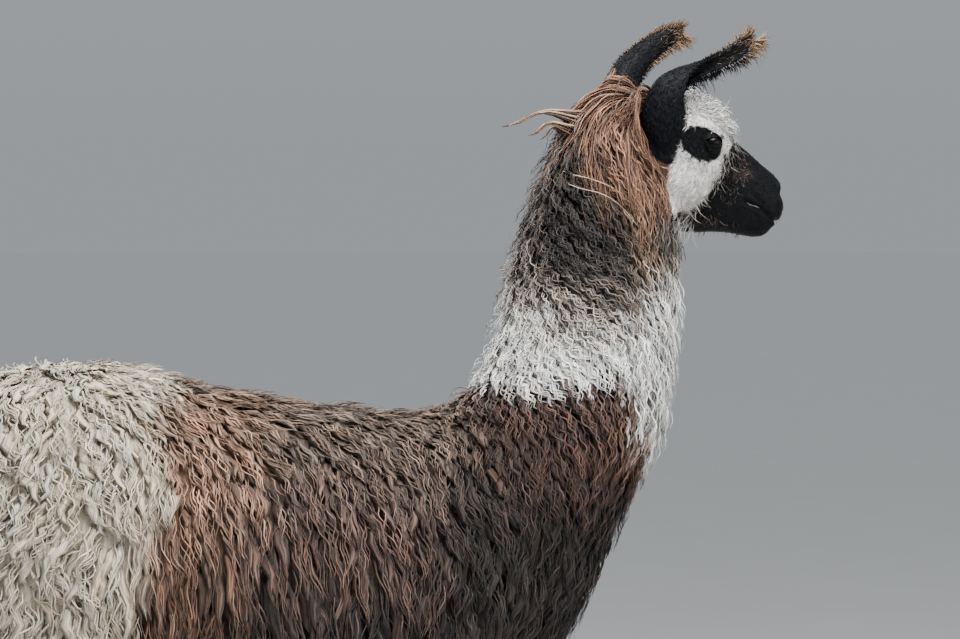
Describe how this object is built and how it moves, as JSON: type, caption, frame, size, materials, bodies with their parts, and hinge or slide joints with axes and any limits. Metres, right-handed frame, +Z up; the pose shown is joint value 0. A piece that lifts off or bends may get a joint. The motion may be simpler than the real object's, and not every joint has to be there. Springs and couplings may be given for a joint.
{
  "type": "llama",
  "caption": "Standing llama in long fleece, head raised and turned a little to its left: a still, life-size display model.",
  "frame": {"origin": "on the floor, under the middle of the animal's box", "axes": "+Z up; the animal faces -Y; +X towards its left side"},
  "size_m": [0.552, 1.6158, 1.8198],
  "materials": {
    "fleece": "long wavy wool in locks: cream on the rump, collar and throat, brown to grey-brown elsewhere",
    "face": "short dense hair, white on brow and cheeks, black round the eyes and on the muzzle",
    "ear": "thin skin under very short blue-black hair, with a soft sheen",
    "eye": "wet, nearly black",
    "pad": "soft leathery toe pads",
    "nail": "dark smooth horn"
  },
  "bodies": {
    "root": {"tail": "fleece", "ear_right": "ear", "ear_left": "ear", "foreleg_right_upper": "fleece", "foreleg_right_shank": "fleece", "foreleg_right_foot": "pad", "foreleg_right_nail_outer": "nail", "foreleg_right_nail_inner": "nail", "foreleg_left_upper": "fleece", "foreleg_left_shank": "fleece", "foreleg_left_foot": "pad", "foreleg_left_nail_inner": "nail", "foreleg_left_nail_outer": "nail", "hind_leg_right_upper": "fleece", "hind_leg_right_shank": "fleece", "hind_leg_right_foot": "pad", "hind_leg_right_nail_outer": "nail", "hind_leg_right_nail_inner": "nail", "hind_leg_left_upper": "fleece", "hind_leg_left_shank": "fleece", "hind_leg_left_foot": "pad", "hind_leg_left_nail_inner": "nail", "hind_leg_left_nail_outer": "nail", "trunk": "fleece", "neck": "fleece", "head": "face", "eye_right": "eye", "eye_left": "eye"}
  },
  "joints": []
}
